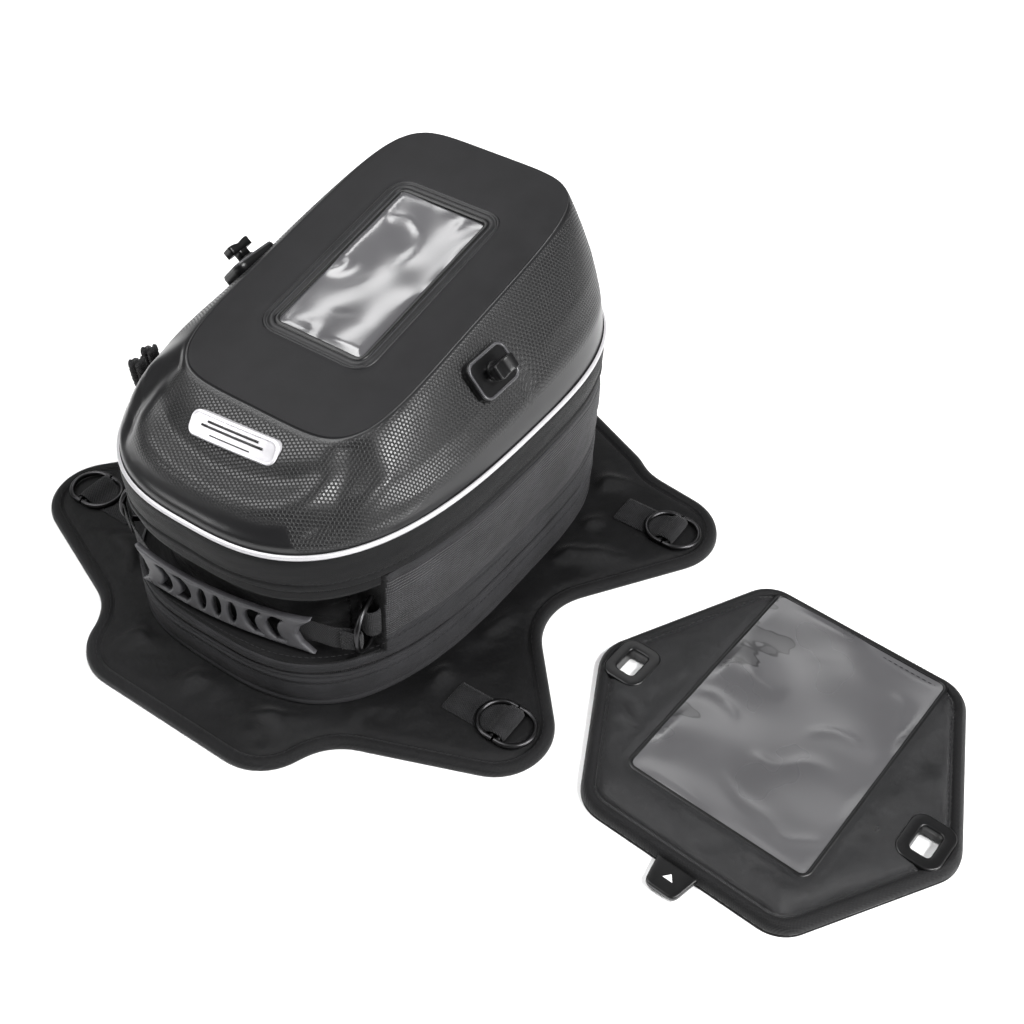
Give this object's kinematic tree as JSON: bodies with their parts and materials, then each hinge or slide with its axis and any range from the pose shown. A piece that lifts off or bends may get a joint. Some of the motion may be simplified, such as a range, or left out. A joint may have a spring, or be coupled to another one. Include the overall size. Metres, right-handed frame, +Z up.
{
  "type": "motorcycle tank bag",
  "caption": "Magnetic motorcycle tank bag: lobed saddle mat with strap rings, expandable bag, hinged moulded lid with a phone window, front grip, and a loose map case with turn-lock sockets.",
  "frame": {"origin": "middle of the saddle mat's underside, under the bag", "axes": "+Z up; -Y is the front, where the grip and badge are; +X is the side on which the map case lies"},
  "size_m": [0.6911, 0.427, 0.2357],
  "materials": {
    "coated_fabric": "matt coated polyester",
    "woven_fabric": "ribbed weave",
    "grip_sheet": "non-slip, matt",
    "magnet_steel": "plain",
    "zip_coil": "nylon coil",
    "dark_metal": "black nickel, gloss",
    "cord_black": "braided cord",
    "grip_rubber": "satin",
    "moulded_shell": "embossed hexagon grain, satin",
    "smooth_panel": "smooth, matt",
    "reflective_silver": "reflective",
    "badge_silver": "brushed",
    "clear_film": "clear soft film",
    "black_plastic": "satin"
  },
  "bodies": {
    "mat": {"mat_pad": "coated_fabric", "mat_underlay": "grip_sheet", "mat_binding": "coated_fabric", "mat_magnets": "magnet_steel", "ring_tab_front_left": "coated_fabric", "ring_tab_front_right": "coated_fabric", "ring_tab_rear_left": "coated_fabric", "ring_tab_rear_right": "coated_fabric", "bottom_shell": "coated_fabric", "floor_board": "woven_fabric", "expansion_zip_lower": "zip_coil", "expansion_gusset": "woven_fabric"},
    "bag_upper": {"bag_wall": "woven_fabric", "front_recess": "coated_fabric", "expansion_zip_upper": "zip_coil", "main_zip_lower": "zip_coil", "hinge_strip_lower": "coated_fabric", "handle_tab_left": "coated_fabric", "handle_tab_right": "coated_fabric"},
    "handle": {"handle_grip": "grip_rubber", "handle_webbing_left": "coated_fabric", "handle_webbing_right": "coated_fabric", "handle_ring_left": "dark_metal", "handle_ring_right": "dark_metal"},
    "lid": {"lid_band": "coated_fabric", "reflective_piping": "reflective_silver", "lid_shell": "moulded_shell", "top_panel": "smooth_panel", "window_frame": "smooth_panel", "window_film": "clear_film", "phone_pocket": "woven_fabric", "badge": "badge_silver", "main_zip_upper": "zip_coil", "hinge_strip_upper": "coated_fabric", "lock_base_left": "black_plastic", "lock_base_right": "black_plastic"},
    "lock_left": {"lock_knob_left": "black_plastic"},
    "lock_right": {"lock_knob_right": "black_plastic"},
    "slider_front": {"main_slider_front": "dark_metal"},
    "slider_rear": {"main_slider_rear": "dark_metal"},
    "pull_front": {"main_pull_front": "cord_black"},
    "pull_rear": {"main_pull_rear": "cord_black"},
    "slider_expansion": {"expansion_slider": "dark_metal"},
    "pull_expansion": {"expansion_pull": "dark_metal"},
    "map_case": {"case_back": "coated_fabric", "case_edge": "coated_fabric", "case_front": "coated_fabric", "case_film": "clear_film", "case_socket_left": "black_plastic", "case_socket_right": "black_plastic", "case_tongue": "grip_rubber"},
    "ring_front_left_inner": {"d_ring_front_left_inner": "dark_metal"},
    "ring_front_left_outer": {"d_ring_front_left_outer": "dark_metal"},
    "ring_rear_left_inner": {"d_ring_rear_left_inner": "dark_metal"},
    "ring_rear_left_outer": {"d_ring_rear_left_outer": "dark_metal"},
    "ring_front_right_inner": {"d_ring_front_right_inner": "dark_metal"},
    "ring_front_right_outer": {"d_ring_front_right_outer": "dark_metal"},
    "ring_rear_right_inner": {"d_ring_rear_right_inner": "dark_metal"},
    "ring_rear_right_outer": {"d_ring_rear_right_outer": "dark_metal"}
  },
  "joints": [
    {"name": "expansion_lift", "type": "slide", "parent": "mat", "child": "bag_upper", "axis": [0, 0, 1], "range_m": [0, 0.045], "deforming": ["expansion_gusset"]},
    {"name": "lid_open", "type": "hinge", "parent": "bag_upper", "child": "lid", "pos_m": [0, 0.1728, 0.11], "axis": [-1, 0, 0], "range_deg": [0, 95]},
    {"name": "handle_lift", "type": "hinge", "parent": "bag_upper", "child": "handle", "pos_m": [0, -0.124, 0.07], "axis": [-1, 0, 0], "range_deg": [0, 12]},
    {"name": "lock_turn_left", "type": "hinge", "parent": "lid", "child": "lock_left", "pos_m": [-0.1025, 0.003, 0.188], "axis": [-0.7547, 0, 0.6561], "range_deg": [0, 90]},
    {"name": "lock_turn_right", "type": "hinge", "parent": "lid", "child": "lock_right", "pos_m": [0.1025, 0.003, 0.188], "axis": [0.7547, 0, 0.6561], "range_deg": [0, 90]},
    {"name": "main_zip_front", "type": "hinge", "parent": "bag_upper", "child": "slider_front", "pos_m": [0, -0.069, 0.11], "axis": [0, 0, 1], "range_deg": [0, 50]},
    {"name": "main_zip_rear", "type": "hinge", "parent": "bag_upper", "child": "slider_rear", "pos_m": [0.664, 0.0176, 0.11], "axis": [0, 0, -1], "range_deg": [0, 9]},
    {"name": "pull_swing_front", "type": "hinge", "parent": "slider_front", "child": "pull_front", "pos_m": [-0.12195, -0.0855, 0.11], "axis": [0.2079, -0.9781, 0], "range_deg": [0, 130]},
    {"name": "pull_swing_rear", "type": "hinge", "parent": "slider_rear", "child": "pull_rear", "pos_m": [-0.12459, -0.07175, 0.11], "axis": [0.1478, -0.989, 0], "range_deg": [0, 130]},
    {"name": "expansion_zip", "type": "hinge", "parent": "mat", "child": "slider_expansion", "pos_m": [0.732, 0.013, 0.035], "axis": [0, 0, 1], "range_deg": [0, 8]},
    {"name": "pull_swing_expansion", "type": "hinge", "parent": "slider_expansion", "child": "pull_expansion", "pos_m": [-0.128, 0.07448, 0.035], "axis": [0.1392, 0.9903, 0], "range_deg": [0, 140]},
    {"name": "map_case_lift", "type": "slide", "parent": "mat", "child": "map_case", "axis": [0, 0, 1], "range_m": [0, 0.25]},
    {"name": "ring_swing_front_left_inner", "type": "hinge", "parent": "mat", "child": "ring_front_left_inner", "pos_m": [-0.1868, -0.1063, 0.0087], "axis": [0, -1, 0], "range_deg": [0, 90]},
    {"name": "ring_swing_front_left_outer", "type": "hinge", "parent": "mat", "child": "ring_front_left_outer", "pos_m": [-0.1922, -0.1063, 0.0087], "axis": [0, 1, 0], "range_deg": [0, 90]},
    {"name": "ring_swing_rear_left_inner", "type": "hinge", "parent": "mat", "child": "ring_rear_left_inner", "pos_m": [-0.1868, 0.1063, 0.0087], "axis": [0, -1, 0], "range_deg": [0, 90]},
    {"name": "ring_swing_rear_left_outer", "type": "hinge", "parent": "mat", "child": "ring_rear_left_outer", "pos_m": [-0.1922, 0.1063, 0.0087], "axis": [0, 1, 0], "range_deg": [0, 90]},
    {"name": "ring_swing_front_right_inner", "type": "hinge", "parent": "mat", "child": "ring_front_right_inner", "pos_m": [0.1868, -0.1063, 0.0087], "axis": [0, 1, 0], "range_deg": [0, 90]},
    {"name": "ring_swing_front_right_outer", "type": "hinge", "parent": "mat", "child": "ring_front_right_outer", "pos_m": [0.1922, -0.1063, 0.0087], "axis": [0, -1, 0], "range_deg": [0, 90]},
    {"name": "ring_swing_rear_right_inner", "type": "hinge", "parent": "mat", "child": "ring_rear_right_inner", "pos_m": [0.1868, 0.1063, 0.0087], "axis": [0, 1, 0], "range_deg": [0, 90]},
    {"name": "ring_swing_rear_right_outer", "type": "hinge", "parent": "mat", "child": "ring_rear_right_outer", "pos_m": [0.1922, 0.1063, 0.0087], "axis": [0, -1, 0], "range_deg": [0, 90]}
  ]
}
